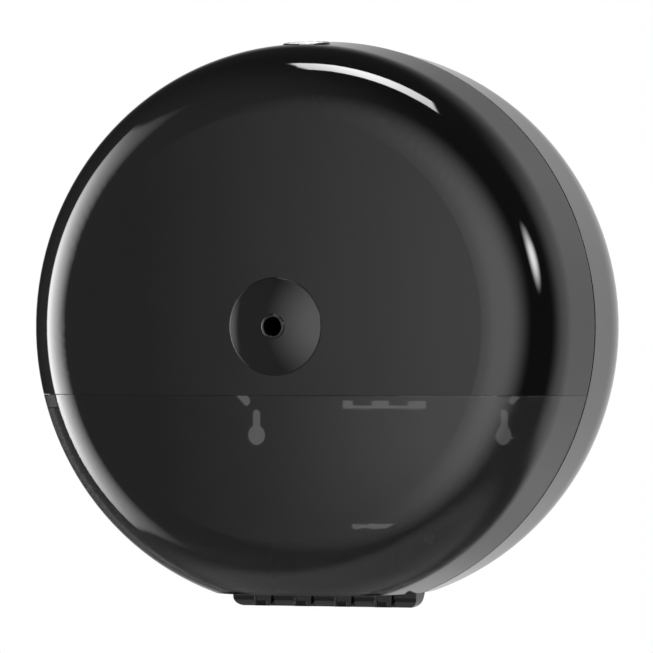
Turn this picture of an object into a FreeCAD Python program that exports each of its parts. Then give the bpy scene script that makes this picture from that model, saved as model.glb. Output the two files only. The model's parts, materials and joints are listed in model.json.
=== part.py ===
import FreeCAD, Part
import math
import os
from types import SimpleNamespace

import Sketcher
from FreeCAD import Rotation, Vector

# Wall-mounted drum dispenser for centre-feed toilet paper, in millimetres.
# X runs to the right seen from the front, Y into the wall and Z up. The origin lies on the drum's
# axis in the wall plane, so the dispenser stands at negative Y and its nozzle points along -Y.

SIZES = {
    # Drum, split at the seam into housing and cover
    "drum_radius": 134.5,
    "seam_depth": 87.0,
    "seam_gap": 1.6,
    "flat_rise": 9.3,
    # Cover: tapered side, rounded corner and slightly domed front face
    "cover_wall": 2.6,
    "cover_depth": 65.5,
    "cover_side": 29.7,
    "cover_taper": 2.2,
    "face_radius": 100.0,
    "dome_rise": 2.55,
    # Level window, lapped behind the upper shell
    "lap_drop": 2.45,
    "window_gap": 0.2,
    "lap_height": 5.5,
    "lap_gap": 0.15,
    "lap_wall": 1.8,
    "lap_setback": 6.0,
    "band_height": 6.0,
    # Housing: tapered side, large rounding, wall plate and rear ribs
    "housing_wall": 3.0,
    "round_depth": 56.0,
    "housing_taper": 1.55,
    "housing_round": 95.0,
    "plate_gap": 5.0,
    "plate_wall": 2.4,
    "rim_width": 5.0,
    "rib_wall": 2.0,
    "rib_offset": 40.0,
    "rib_pitch": 70.0,
    "hub_radius": 16.0,
    # Bead and lip along the seam
    "bead_inset": 1.5,
    "bead_length": 12.0,
    "lip_length": 4.0,
    "lip_wall": 1.8,
    "lip_gap": 0.4,
    # Openings in the wall plate
    "keyhole_inset": 42.0,
    "keyhole_drop": 53.0,
    "keyhole_pitch": 86.0,
    "entry_radius": 4.8,
    "slot_radius": 2.3,
    "slot_rise": 10.1,
    "adjust_inset": 37.0,
    "adjust_drop": 35.9,
    "adjust_length": 10.0,
    "adjust_angle": 45.0,
    "vent_left": 19.7,
    "vent_right": 23.7,
    "vent_drop": 35.7,
    "vent_height": 4.4,
    "tab_width": 9.0,
    "tab_height": 2.2,
    "tab_pitch": 18.5,
    "drain_left": 15.0,
    "drain_right": 8.0,
    "drain_rise": 10.5,
    "drain_height": 2.4,
    "drain_slant": 26.0,
    # Hinge below the drum's flat, just behind the seam
    "hinge_setback": 5.5,
    "hinge_drop": 2.3,
    "hinge_radius": 5.0,
    "hinge_inset": 3.1,
    "cover_knuckle": 8.9,
    "knuckle_gap": 0.3,
    "knuckle_relief": 0.6,
    "knuckle_round": 4.5,
    "web_length": 8.7,
    "web_bite": 1.0,
    "arm_reach": 1.0,
    "arm_drop": 4.7,
    "notch_inset": 1.1,
    "notch_slit": 0.8,
    "notch_width": 4.2,
    "notch_height": 2.1,
    "notch_lift": 0.3,
    "notch_tall": 3.6,
    "notch_depth": 0.8,
    "pin_radius": 1.5,
    "pin_gap": 0.05,
    "pin_inset": 1.0,
    "pin_stop": 1.5,
    # Cradle for the paper roll
    "shelf_wall": 2.5,
    "shelf_half": 58.0,
    "shelf_setback": 3.0,
    "foot_gap": 1.6,
    "foot_width": 7.0,
    "foot_wall": 3.0,
    "foot_half": 37.0,
    "cradle_screw_angle": 15.0,
    "cradle_boss": 3.8,
    "leg_offset": 30.0,
    "leg_wall": 3.0,
    "leg_gap": 0.75,
    "leg_rear": 46.0,
    "grip_height": 1.0,
    "grip_wall": 2.0,
    "grip_step": 12.0,
    # Nozzle in the middle of the front face
    "nozzle_radius": 22.5,
    "nozzle_rise": 3.1,
    "nozzle_wall": 2.2,
    "nozzle_gap": 0.2,
    "recess_depth": 1.2,
    "cap_overhang": 3.8,
    "neck_length": 10.0,
    "outlet_radius": 4.5,
    "ring_wall": 1.1,
    "ring_gap": 0.05,
    "ring_proud": 0.4,
    "ring_round": 0.5,
    "ring_length": 8.0,
    "ring_flange": 1.8,
    "retainer_gap": 0.05,
    "retainer_width": 5.2,
    "retainer_height": 4.6,
    # Lock in the top of the cover: collar and button with one sloping face, key barrel and cam
    "lock_setback": 23.6,
    "lock_sink": 1.35,
    "lock_slope": 6.0,
    "collar_height": 6.1,
    "collar_wall": 2.0,
    "collar_spread": 3.0,
    "collar_ramp": 2.6,
    "button_radius": 8.2,
    "button_gap": 0.3,
    "button_travel": 4.0,
    "slide_gap": 0.2,
    "flange_reach": 4.5,
    "flange_height": 2.0,
    "spring_radius": 1.6,
    "spring_wall": 0.6,
    "spring_edge": 0.2,
    "barrel_radius": 4.2,
    "barrel_gap": 0.06,
    "barrel_head": 5.5,
    "barrel_head_height": 1.4,
    "barrel_inset": 0.2,
    "tang_half": 2.0,
    "key_slot_width": 1.2,
    "key_slot_length": 6.4,
    "key_slot_depth": 1.0,
    "cam_radius": 6.8,
    "cam_height": 2.0,
    "finger_offset": 5.0,
    "finger_radius": 1.5,
    "finger_gap": 0.2,
    "finger_clear": 0.5,
    # Latch lever, its bracket and its spring
    "pivot_setback": 10.8,
    "pivot_drop": 7.7,
    "arm_height": 3.0,
    "arm_over": 3.7,
    "lever_hub": 3.2,
    "hook_clear": 2.2,
    "hook_height": 2.0,
    "hook_gap": 0.5,
    "barb_gap": 0.3,
    "barb_depth": 2.7,
    "barb_length": 3.7,
    "barb_nose": 1.0,
    "latch_spring_radius": 2.8,
    "bracket_wall": 2.0,
    "bracket_gap": 0.3,
    "bracket_rear": 4.5,
    "bracket_front": 1.5,
    "cheek_gap": 0.4,
    "floor_drop": 12.5,
    "ear_drop": 2.0,
    "ear_height": 2.5,
    "ear_half": 6.0,
    "boss_gap": 1.0,
    "boss_width": 8.0,
    "boss_half": 5.0,
    "boss_bite": 4.5,
    "lever_pin_over": 0.4,
    # Keeper in the top of the housing
    "keeper_setback": 6.5,
    "keeper_size": 3.0,
    "keeper_half": 9.0,
    "keeper_wall": 2.5,
    "keeper_ear": 9.0,
    "keeper_front": 3.0,
    "keeper_rear": 15.0,
    "pad_drop": 8.5,
    "pad_bite": 2.7,
    # Screws, alike everywhere
    "screw_radius": 1.5,
    "screw_gap": 0.02,
    "screw_length": 7.0,
    "screw_head": 2.8,
    "screw_head_height": 1.8,
    "drive_radius": 1.1,
    "drive_depth": 1.0,
    "pilot_over": 0.5,
    # How far a cutting form runs past the faces that it cuts
    "overrun": 1.0,
}

BASE_KNUCKLES = 5
COVER_KNUCKLES = BASE_KNUCKLES - 1
GRIP_STEPS = (-2, -1, 0, 1, 2)
SIDES = (1, -1)
TURNS = {"X": Rotation(Vector(0, 1, 0), 90), "Y": Rotation(Vector(1, 0, 0), -90), "Z": Rotation()}
# Share of the way to the corner at which the poles of the cover's shoulder lie: the turn is
# tight beside the side wall and runs out gently into the face
SIDE_REACH = 0.32
FACE_REACH = 0.88


class Dim:
    """A size: its number and the sheet expression that gives it."""

    def __init__(self, value, text=None):
        self.value = float(value)
        self.text = text or f"({float(value)!r})"

    def __add__(self, other):
        other = as_dim(other)
        return Dim(self.value + other.value, f"({self.text} + {other.text})")

    def __sub__(self, other):
        other = as_dim(other)
        return Dim(self.value - other.value, f"({self.text} - {other.text})")

    def __mul__(self, other):
        other = as_dim(other)
        return Dim(self.value * other.value, f"({self.text} * {other.text})")

    def __truediv__(self, other):
        other = as_dim(other)
        return Dim(self.value / other.value, f"({self.text} / {other.text})")

    def __neg__(self):
        return Dim(-self.value, f"(-{self.text})")

    __radd__ = __add__
    __rmul__ = __mul__


def as_dim(size):
    return size if isinstance(size, Dim) else Dim(size)


doc = FreeCAD.newDocument("Dispenser")
sheet = doc.addObject("Spreadsheet::Sheet", "Sizes")
for row, (alias, number) in enumerate(SIZES.items(), start=1):
    sheet.set(f"A{row}", alias)
    sheet.set(f"B{row}", str(number))
    sheet.setAlias(f"B{row}", alias)
doc.recompute()
d = SimpleNamespace(**{alias: Dim(sheet.get(alias), f"Sizes.{alias}") for alias in SIZES})
ZERO = Dim(0)
pieces = {}


# Building blocks

def tie(item, prop, size):
    item.setExpression(prop, as_dim(size).text)


def place(item, x, y, z):
    for letter, size in zip("xyz", (x, y, z)):
        tie(item, f"Placement.Base.{letter}", size)


def box(name, x, y, z):
    """Block between a low and a high bound along each axis."""
    item = doc.addObject("Part::Box", name)
    for prop, (low, high) in zip(("Length", "Width", "Height"), (x, y, z)):
        tie(item, prop, high - low)
    place(item, x[0], y[0], z[0])
    return item


def turned_box(name, pivot, angle, x, y, z):
    """Block whose X and Z bounds count from a pivot, turned about the pivot's Y direction."""
    item = box(name, x, y, z)
    item.Placement.Rotation = Rotation(Vector(0, 1, 0), angle)
    cosine = math.cos(math.radians(angle))
    sine = math.sin(math.radians(angle))
    place(item, x[0] * cosine + z[0] * sine + pivot[0], y[0], z[0] * cosine - x[0] * sine + pivot[1])
    return item


def rod(name, axis, radius, bounds, x=ZERO, y=ZERO, z=ZERO, end_radius=None):
    """Round bar between two bounds of its axis, tapered when end_radius is given."""
    low, high = bounds
    item = doc.addObject("Part::Cylinder" if end_radius is None else "Part::Cone", name)
    if end_radius is None:
        tie(item, "Radius", radius)
    else:
        tie(item, "Radius1", radius)
        tie(item, "Radius2", end_radius)
    tie(item, "Height", high - low)
    item.Placement.Rotation = TURNS[axis]
    start = {"X": x, "Y": y, "Z": z}
    start[axis] = low
    place(item, start["X"], start["Y"], start["Z"])
    return item


def fuse(name, *items):
    item = doc.addObject("Part::MultiFuse", name)
    item.Shapes = list(items)
    item.Refine = True
    return item


def common(name, *items):
    item = doc.addObject("Part::MultiCommon", name)
    item.Shapes = list(items)
    item.Refine = True
    return item


def cut(name, base, *tools):
    item = doc.addObject("Part::Cut", name)
    item.Base = base
    item.Tool = tools[0] if len(tools) == 1 else fuse(f"{name}_tools", *tools)
    item.Refine = True
    return item


def group(name, *items):
    item = doc.addObject("Part::Compound", name)
    item.Links = list(items)
    return item


def tube(name, axis, radius, wall, bounds, **spot):
    low, high = bounds
    outer = rod(f"{name}_outer", axis, radius, bounds, **spot)
    inner = rod(f"{name}_inner", axis, radius - wall, (low - d.overrun, high + d.overrun), **spot)
    return cut(name, outer, inner)


def keep(node, item):
    """Enter a finished sub-part under its node's name."""
    item.Label = node
    pieces[node] = item


def line(end):
    return {"end": end, "make": Part.LineSegment}


def arc(middle, end):
    return {"end": end, "make": lambda start, stop: Part.Arc(start, Vector(*middle, 0), stop)}


def curve(corner, end):
    """Smooth turn that leaves along one side of the corner and arrives along the other."""
    def make(start, stop):
        peak = Vector(*corner, 0)
        poles = [start, start + (peak - start) * SIDE_REACH, stop + (peak - stop) * FACE_REACH, stop]
        spline = Part.BSplineCurve()
        spline.buildFromPolesMultsKnots(poles, [4, 4], [0, 1], False, 3)
        return spline
    return {"end": end, "make": make}


def sketch_outline(body, start, steps):
    """Closed outline in the YZ plane; every corner is a (y, z) pair tied to the sheet."""
    plane = next(item for item in body.Origin.OriginFeatures if item.Role == "YZ_Plane")
    sketch = body.newObject("Sketcher::SketchObject", f"{body.Name}_outline")
    sketch.AttachmentSupport = (plane, [""])
    sketch.MapMode = "FlatFace"
    corners = [(as_dim(y), as_dim(z)) for y, z in [start] + [step["end"] for step in steps]]
    spots = [Vector(y.value, z.value, 0) for y, z in corners]
    for index, step in enumerate([*steps, line(start)]):
        sketch.addGeometry(step["make"](spots[index], spots[(index + 1) % len(spots)]), False)

    def end_at(index, spot):
        gaps = [sketch.getPoint(index, end).distanceToPoint(spot) for end in (1, 2)]
        return 1 if gaps[0] < gaps[1] else 2

    for index, ((y, z), spot) in enumerate(zip(corners, spots)):
        before = (index - 1) % len(spots)
        end = end_at(index, spot)
        sketch.addConstraint(Sketcher.Constraint("Coincident", before, end_at(before, spot), index, end))
        for kind, size, axis in (("DistanceX", y, -2), ("DistanceY", z, -1)):
            if size.value == 0:
                sketch.addConstraint(Sketcher.Constraint("PointOnObject", index, end, axis))
                continue
            ends = (-1, 1, index, end) if size.value > 0 else (index, end, -1, 1)
            number = sketch.addConstraint(Sketcher.Constraint(kind, *ends, abs(size.value)))
            tie(sketch, f"Constraints[{number}]", size if size.value > 0 else -size)
    return sketch


def turned(name, start, *steps):
    """Solid of revolution about the Y axis."""
    body = doc.addObject("PartDesign::Body", name)
    sketch = sketch_outline(body, start, steps)
    turn = body.newObject("PartDesign::Revolution", f"{name}_turn")
    turn.Profile = (sketch, [""])
    turn.ReferenceAxis = (sketch, ["H_Axis"])
    turn.Angle = 360
    return body


def padded(name, half_width, start, *steps):
    """Outline in the YZ plane padded to both sides along X."""
    body = doc.addObject("PartDesign::Body", name)
    sketch = sketch_outline(body, start, steps)
    pad = body.newObject("PartDesign::Pad", f"{name}_pad")
    pad.Profile = (sketch, [""])
    pad.SideType = "Symmetric"
    tie(pad, "Length", half_width * 2)
    return body


def mirrored(side, near, far_edge):
    """Bounds along X of something between two distances from the middle plane."""
    return (near, far_edge) if side > 0 else (-far_edge, -near)


def around(middle, half):
    return middle - half, middle + half


def screw(name, axis, seat, **spot):
    """Pan-head screw; its head lies before the seat along the axis and its shank behind it."""
    top = seat - d.screw_head_height
    head = rod(f"{name}_head", axis, d.screw_head, (top, seat), **spot)
    shank = rod(f"{name}_shank", axis, d.screw_radius, (top + d.drive_depth, seat + d.screw_length), **spot)
    drive = rod(f"{name}_drive", axis, d.drive_radius, (top - d.overrun, top + d.drive_depth), **spot)
    return cut(name, fuse(f"{name}_blank", head, shank), drive)


def screw_hole(name, axis, seat, **spot):
    """Hole for a screw's shank, a little deeper than its tip."""
    bounds = (seat - d.overrun, seat + d.screw_length + d.pilot_over)
    return rod(name, axis, d.screw_radius + d.screw_gap, bounds, **spot)


# Places that several sub-parts share

seam_y = -d.seam_depth
housing_side = d.seam_depth - d.round_depth
face_y = -(d.seam_depth + d.cover_depth)
plate_front = -(d.plate_gap + d.plate_wall)
plate_bounds = (plate_front - d.overrun, d.overrun)
flat_drop = d.drum_radius - d.flat_rise
floor_z = -(flat_drop - d.housing_wall)
flat_half = Dim(math.sqrt(d.drum_radius.value ** 2 - flat_drop.value ** 2))
hinge_half = flat_half - d.hinge_inset
hinge_y = seam_y + d.hinge_setback
hinge_z = -(flat_drop + d.hinge_drop)
hinge_floor = hinge_z - d.hinge_radius
hinge_slant = d.hinge_radius * math.sqrt(0.5)
web_top = d.web_bite - flat_drop
far = d.drum_radius * 2

neck_radius = d.nozzle_radius - d.cap_overhang
ring_radius = d.outlet_radius + d.ring_wall
retainer_outer = neck_radius + d.retainer_gap + d.retainer_width
window_drop = retainer_outer + d.lap_drop + d.lap_height

lock_y = seam_y - d.lock_setback
button_bore = d.button_radius + d.button_gap
collar_top = button_bore + d.collar_wall
collar_foot = collar_top + d.collar_spread
flange_radius = button_bore + d.flange_reach
lock_top = d.drum_radius - d.lock_sink
lock_tan = math.tan(math.radians(d.lock_slope.value))
lock_high = lock_top + collar_top * lock_tan
collar_floor = d.drum_radius - d.collar_height
flange_top = collar_floor - d.slide_gap
flange_floor = flange_top - d.flange_height
cam_top = flange_floor - d.slide_gap
cam_floor = cam_top - d.cam_height
barrel_top = lock_top - d.barrel_head * lock_tan - d.barrel_inset
barrel_neck = barrel_top - d.barrel_head_height
pivot_y = lock_y + d.pivot_setback
pivot_z = flange_floor - d.pivot_drop
arm_top = pivot_z + d.arm_height / 2
arm_floor = pivot_z - d.arm_height / 2
arm_half = d.finger_offset - d.finger_radius - d.finger_clear
finger_y = lock_y - d.finger_offset
arm_tip = finger_y - d.arm_over
spring_x = flange_radius - d.spring_radius - d.spring_edge
cheek_outer = spring_x - d.spring_radius - d.cheek_gap
cheek_inner = cheek_outer - d.bracket_wall
hook_half = cheek_inner - d.hook_clear
cheek_top = flange_floor - d.button_travel - d.cheek_gap
boss_inner = flange_radius + d.boss_gap
boss_outer = boss_inner + d.boss_width
boss_x = (boss_inner + boss_outer) / 2
ear_top = pivot_z - d.ear_drop
ear_floor = ear_top - d.ear_height
bracket_floor = pivot_z - d.floor_drop

keeper_y = seam_y + d.keeper_setback
keeper_bounds = (seam_y + d.keeper_front, seam_y + d.keeper_rear)
keeper_outer = d.keeper_half + d.keeper_ear
pad_floor = d.drum_radius - d.pad_drop
keeper_ear_floor = pad_floor - d.keeper_wall

foot_front = plate_front - d.foot_wall
housing_front = seam_y + d.seam_gap / 2
bead_bounds = (housing_front, housing_front + d.bead_length)
lip_radius = d.drum_radius - d.cover_wall - d.cover_taper * d.lip_length / d.cover_side - d.lip_gap
lip_drop = flat_drop - d.cover_wall - d.lip_gap


def housing_arc(inset):
    """Centre, radius and start angle of the housing's large rounding, inset by a wall."""
    rounding = d.housing_round.value - inset.value
    tilt = math.atan2(d.housing_taper.value, housing_side.value)
    side_r = d.drum_radius.value - inset.value - d.housing_taper.value
    centre_y = seam_y.value + housing_side.value - rounding * math.sin(tilt)
    centre_r = side_r - rounding * math.cos(tilt)
    return centre_y, centre_r, rounding, tilt


def housing_radius(inset, y):
    """Radius of the housing's rounding at a given depth."""
    centre_y, centre_r, rounding, _ = housing_arc(inset)
    return Dim(centre_r + math.sqrt(rounding ** 2 - (y.value - centre_y) ** 2))


rim_outer = housing_radius(ZERO, ZERO)
rim_inner = rim_outer - d.rim_width
shelf_outer = housing_radius(d.housing_wall, plate_front) - d.foot_gap - d.foot_width
shelf_middle = shelf_outer - d.shelf_wall / 2
shelf_inner = shelf_outer - d.shelf_wall


def above(name, level):
    return box(name, (-far, far), (-far, far), (level, level + far))


def below(name, level):
    return box(name, (-far, far), (-far, far), (level - far, level))


def base_span(index):
    """Bounds along X of one of the housing's hinge knuckles, counted from the left."""
    length = (hinge_half * 2 - d.cover_knuckle * COVER_KNUCKLES) / BASE_KNUCKLES
    low = (length + d.cover_knuckle) * index - hinge_half
    return low, low + length


def cover_span(index):
    """Bounds along X of the room for one of the cover's hinge knuckles."""
    return base_span(index)[1], base_span(index + 1)[0]


def hinge_rod(name, radius, inset):
    """Round bar on the hinge axis from the left end to the stop in the last knuckle."""
    bounds = (base_span(0)[0] + inset, base_span(BASE_KNUCKLES - 1)[1] - d.pin_stop - inset)
    return rod(name, "X", radius, bounds, y=hinge_y, z=hinge_z)


def knuckle_room(name, bounds):
    """Round clearance that the other half's wall leaves for a knuckle."""
    room = (bounds[0] - d.knuckle_gap, bounds[1] + d.knuckle_gap)
    return rod(name, "X", d.hinge_radius + d.knuckle_relief, room, y=hinge_y, z=hinge_z)


def knuckle(name, bounds, start, *steps):
    """Barrel on the hinge axis with an arm or web of the given outline in the YZ plane."""
    low, high = bounds
    arm = padded(f"{name}_arm", (high - low) / 2, start, *steps)
    place(arm, (low + high) / 2, ZERO, ZERO)
    return [rod(f"{name}_barrel", "X", d.hinge_radius, bounds, y=hinge_y, z=hinge_z), arm]


def lock_slope_room(name, drop=ZERO):
    """All that lies above the sloping plane of the lock's face, or above one that is lower by a drop."""
    item = above(name, ZERO)
    angle = math.radians(d.lock_slope.value)
    item.Placement.Rotation = Rotation(Vector(1, 0, 0), d.lock_slope.value)
    place(item, -far, lock_y - far * math.cos(angle), lock_top - drop - far * math.sin(angle))
    return item


def collar_ramp(name):
    """Low ramp round the lock's face, square to its slope."""
    item = rod(name, "Z", collar_foot, (ZERO, d.collar_ramp), end_radius=collar_top)
    angle = math.radians(d.lock_slope.value)
    item.Placement.Rotation = Rotation(Vector(1, 0, 0), d.lock_slope.value)
    foot_y = lock_y + d.collar_ramp * math.sin(angle)
    place(item, ZERO, foot_y, lock_top - d.collar_ramp * math.cos(angle))
    return item


def cradle_screw_spot(side):
    angle = math.radians(d.cradle_screw_angle.value)
    radius = shelf_outer + d.foot_width / 2
    return {"x": radius * (math.sin(angle) * side), "z": -(radius * math.cos(angle))}


def keeper_screw_spot(side):
    offset = (d.keeper_half + d.keeper_wall + keeper_outer) / 2
    return {"x": offset * side, "y": (keeper_bounds[0] + keeper_bounds[1]) / 2}


# Drum forms, each solid to the axis and inset from the outside by a wall

def cover_form(name, inset, rear):
    """The cover's outside, or a surface inset from it, with its rear face at a given place."""
    radius = d.drum_radius - inset
    side_end = (seam_y - d.cover_side, radius - d.cover_taper)
    front = face_y + inset
    corner = d.drum_radius - d.cover_taper - d.face_radius
    face_edge = (front + d.dome_rise, side_end[1] - corner * corner / (corner + inset))
    side_y, side_r = (size.value for size in side_end)
    edge_y, edge_r = (size.value for size in face_edge)
    rise = d.dome_rise.value
    dome = (edge_r ** 2 + rise ** 2) / (2 * rise)
    dome_y = front.value + dome
    middle = (dome_y - math.sqrt(dome ** 2 - (edge_r / 2) ** 2), edge_r / 2)
    side_slope = d.cover_taper.value / d.cover_side.value
    face_slope = edge_r / (dome_y - edge_y)
    drop = side_slope * (edge_y - side_y - face_slope * edge_r)
    corner_r = (side_r + drop) / (1 - side_slope * face_slope)
    corner_y = edge_y + face_slope * (corner_r - edge_r)
    return turned(
        name, (rear, ZERO), line((rear, radius)), line(side_end),
        curve((corner_y, corner_r), face_edge), arc(middle, (front, ZERO)),
    )


def housing_form(name, inset, front, rear):
    """The housing's outside, or a surface inset from it, between two planes."""
    radius = d.drum_radius - inset
    side_end = (seam_y + housing_side, radius - d.housing_taper)
    centre_y, centre_r, rounding, tilt = housing_arc(inset)
    halfway = (tilt + math.asin((rear.value - centre_y) / rounding)) / 2
    middle = (centre_y + rounding * math.sin(halfway), centre_r + rounding * math.cos(halfway))
    return turned(
        name, (front, ZERO), line((front, radius)), line(side_end),
        arc(middle, (rear, housing_radius(inset, rear))), line((rear, ZERO)),
    )


def cover_outside(name):
    form = cover_form(f"{name}_round", ZERO, seam_y - d.seam_gap / 2)
    return cut(name, form, below(f"{name}_flat", -flat_drop))


def cover_inside(name):
    form = cover_form(f"{name}_round", d.cover_wall, seam_y + d.overrun)
    return cut(name, form, below(f"{name}_flat", -(flat_drop - d.cover_wall)))


# Cover

def make_cover_shell():
    level = -window_drop + d.window_gap / 2
    outside = common("shell_outside", cover_outside("shell_drum"), above("shell_half", level))
    wall = cut("shell_wall", outside, cover_inside("shell_hollow"))
    guide = rod("guide_blank", "Z", flange_radius, (collar_floor, lock_high), y=lock_y)
    collar = cut("collar", guide, lock_slope_room("guide_slope", d.collar_ramp))
    bosses = [
        box(
            "lock_boss", mirrored(side, boss_inner, boss_outer), around(lock_y, d.boss_half),
            (ear_top, d.drum_radius - d.boss_bite),
        )
        for side in SIDES
    ]
    pilots = [screw_hole("lock_pilot", "Z", ear_floor, x=boss_x * side, y=lock_y) for side in SIDES]
    bore_bounds = (collar_floor - d.overrun, d.drum_radius + d.overrun)
    bore = rod("button_bore", "Z", button_bore, bore_bounds, y=lock_y)
    recess_bounds = (face_y - d.overrun, face_y + d.recess_depth)
    recess = rod("nozzle_recess", "Y", d.nozzle_radius + d.nozzle_gap, recess_bounds)
    neck_hole = rod("neck_hole", "Y", neck_radius + d.nozzle_gap, (face_y, face_y + d.cover_wall * 2))
    blank = fuse("shell_blank", wall, collar_ramp("ramp"), collar, *bosses)
    keep("cover_shell", cut("shell", blank, bore, recess, neck_hole, *pilots))


def make_level_window():
    level = -window_drop - d.window_gap / 2
    lap_top = -window_drop + d.lap_height
    band_floor = -window_drop - d.band_height
    lap_rear = seam_y - d.lap_setback
    lap_inset = d.cover_wall + d.lap_gap
    lap_room = box("lap_room", (-far, far), (-far, lap_rear), (band_floor, lap_top))
    lap_room_wide = box(
        "lap_room_wide", (-far, far), (-far, lap_rear), (band_floor - d.overrun, lap_top + d.overrun),
    )
    rim_room = box("rim_room", (-far, far), (lap_rear, far), (-far, far))
    outside = common("window_outside", cover_outside("window_drum"), below("window_half", level))
    lap = common("lap", cover_form("lap_form", lap_inset, seam_y), lap_room)
    hollows = [
        common("low_hollow", cover_inside("low_inside"), below("low_room", band_floor)),
        common("rim_hollow", cover_inside("rim_inside"), rim_room),
        common("lap_hollow", cover_form("lap_inside", lap_inset + d.lap_wall, seam_y), lap_room_wide),
    ]
    wall = cut("window_wall", fuse("window_solid", outside, lap), *hollows)
    rooms = [knuckle_room("base_room", base_span(index)) for index in range(BASE_KNUCKLES)]
    forms = [cut("window_relieved", wall, *rooms)]
    cuts = [hinge_rod("window_bore", d.pin_radius + d.pin_gap, ZERO)]
    for index in range(COVER_KNUCKLES):
        low, high = cover_span(index)
        bounds = (low + d.knuckle_gap, high - d.knuckle_gap)
        forms.extend(cover_knuckle(bounds))
        cuts.extend(knuckle_notch(bounds[0]))
    keep("level_window", cut("window", fuse("window_blank", *forms), *cuts))


def cover_knuckle(bounds):
    """Barrel carried by an arm that hangs from the window's rear edge and has a flat front."""
    rear = seam_y - d.seam_gap / 2
    front = rear - d.arm_reach
    ceiling = -(flat_drop + d.knuckle_gap)
    return knuckle(
        "cover", bounds, (front, web_top), line((front, hinge_z - d.arm_drop)),
        line((hinge_y - hinge_slant, hinge_z - hinge_slant)), line((hinge_y, ceiling)),
        line((rear, ceiling)), line((rear, web_top)),
    )


def knuckle_notch(left):
    """Shallow L-shaped recess in the flat front of a cover knuckle's arm."""
    front = seam_y - d.seam_gap / 2 - d.arm_reach
    depth = (front - d.overrun, front + d.notch_depth)
    slit = left + d.notch_inset
    side = slit + d.notch_slit
    floor = hinge_z - d.arm_drop + d.notch_lift
    return [
        box("notch_slit_form", (slit, side), depth, (floor, floor + d.notch_tall)),
        box("notch_foot", (slit, side + d.notch_width), depth, (floor, floor + d.notch_height)),
    ]


# Nozzle

def make_nozzle():
    apex = face_y - d.nozzle_rise
    edge = d.nozzle_radius.value
    bore = ring_radius + d.ring_gap
    hole = bore.value
    rise = d.nozzle_rise.value
    ball = (edge ** 2 + rise ** 2) / (2 * rise)

    def cap(radius):
        return Dim(apex.value + ball - math.sqrt(ball ** 2 - radius ** 2))

    halfway = (hole + edge) / 2
    neck_inner = neck_radius - d.nozzle_wall
    seat = face_y + d.recess_depth
    neck_end = face_y + d.neck_length
    flange = cap(hole) + d.nozzle_wall
    keep("nozzle_dome", turned(
        "nozzle", (cap(hole), bore), arc((cap(halfway).value, halfway), (face_y, d.nozzle_radius)),
        line((seat, d.nozzle_radius)), line((seat, neck_radius)), line((neck_end, neck_radius)),
        line((neck_end, neck_inner)), line((cap(neck_inner.value) + d.nozzle_wall, neck_inner)),
        line((flange, bore)),
    ))

    tip = apex - d.ring_proud
    ring_end = tip + d.ring_length
    flange_radius = ring_radius + d.ring_flange
    bend = d.ring_round * (1 - math.sqrt(0.5))
    keep("outlet_ring", turned(
        "ring", (tip, d.outlet_radius), line((tip, ring_radius - d.ring_round)),
        arc(((tip + bend).value, (ring_radius - bend).value), (tip + d.ring_round, ring_radius)),
        line((flange, ring_radius)), line((flange + d.ring_flange, flange_radius)),
        line((ring_end, flange_radius)), line((ring_end, d.outlet_radius)),
    ))

    inner_face = face_y + d.cover_wall + d.nozzle_gap
    bounds = (inner_face, inner_face + d.retainer_height)
    keep("nozzle_retainer", tube("retainer", "Y", retainer_outer, d.retainer_width, bounds))


# Housing

def plate_cut(name, x, z):
    return box(name, x, plate_bounds, z)


def plate_hole(name, radius, x, z):
    return rod(name, "Y", radius, plate_bounds, x=x, z=z)


def keyholes():
    forms = []
    for level in (-d.keyhole_drop, d.keyhole_pitch - d.keyhole_drop):
        for side in SIDES:
            x = (rim_inner - d.keyhole_inset) * side
            top = level + d.slot_rise
            forms.append(plate_hole("keyhole_entry", d.entry_radius, x, level))
            forms.append(plate_hole("keyhole_end", d.slot_radius, x, top))
            forms.append(plate_cut("keyhole_slot", around(x, d.slot_radius), (level, top)))
    return forms


def adjusting_slots():
    """Slanted slots above the lower keyholes."""
    forms = []
    for side in SIDES:
        angle = d.adjust_angle.value * side
        low = ((rim_inner - d.adjust_inset) * side, -d.adjust_drop)
        rise_x = d.adjust_length * math.sin(math.radians(angle))
        rise_z = d.adjust_length * math.cos(math.radians(angle))
        forms.append(turned_box(
            "adjust_slot", low, angle, around(ZERO, d.slot_radius), plate_bounds, (ZERO, d.adjust_length),
        ))
        forms.append(plate_hole("adjust_low", d.slot_radius, *low))
        forms.append(plate_hole("adjust_high", d.slot_radius, low[0] + rise_x, low[1] + rise_z))
    return forms


def vent_slot():
    """Slot below the hub, with two tabs that reach into it from above."""
    top = -d.vent_drop
    slot = plate_cut("vent", (-d.vent_left, d.vent_right), (top - d.vent_height, top))
    tab_bounds = (top - d.tab_height, top + d.overrun)
    tabs = [
        plate_cut("vent_tab", around(d.tab_pitch / 2 * side, d.tab_width / 2), tab_bounds)
        for side in SIDES
    ]
    return cut("vent_form", slot, *tabs)


def drain_slot():
    """Low slot whose right end is cut at a slant."""
    top = d.drain_rise - rim_inner
    slot = plate_cut("drain", (-d.drain_left, d.drain_right), (top - d.drain_height, top))
    reach = d.drain_right
    slant = turned_box(
        "drain_cut", (reach, top), -d.drain_slant.value, (-reach, reach), (-far, far), (-reach, ZERO),
    )
    return cut("drain_form", slot, slant)


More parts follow.
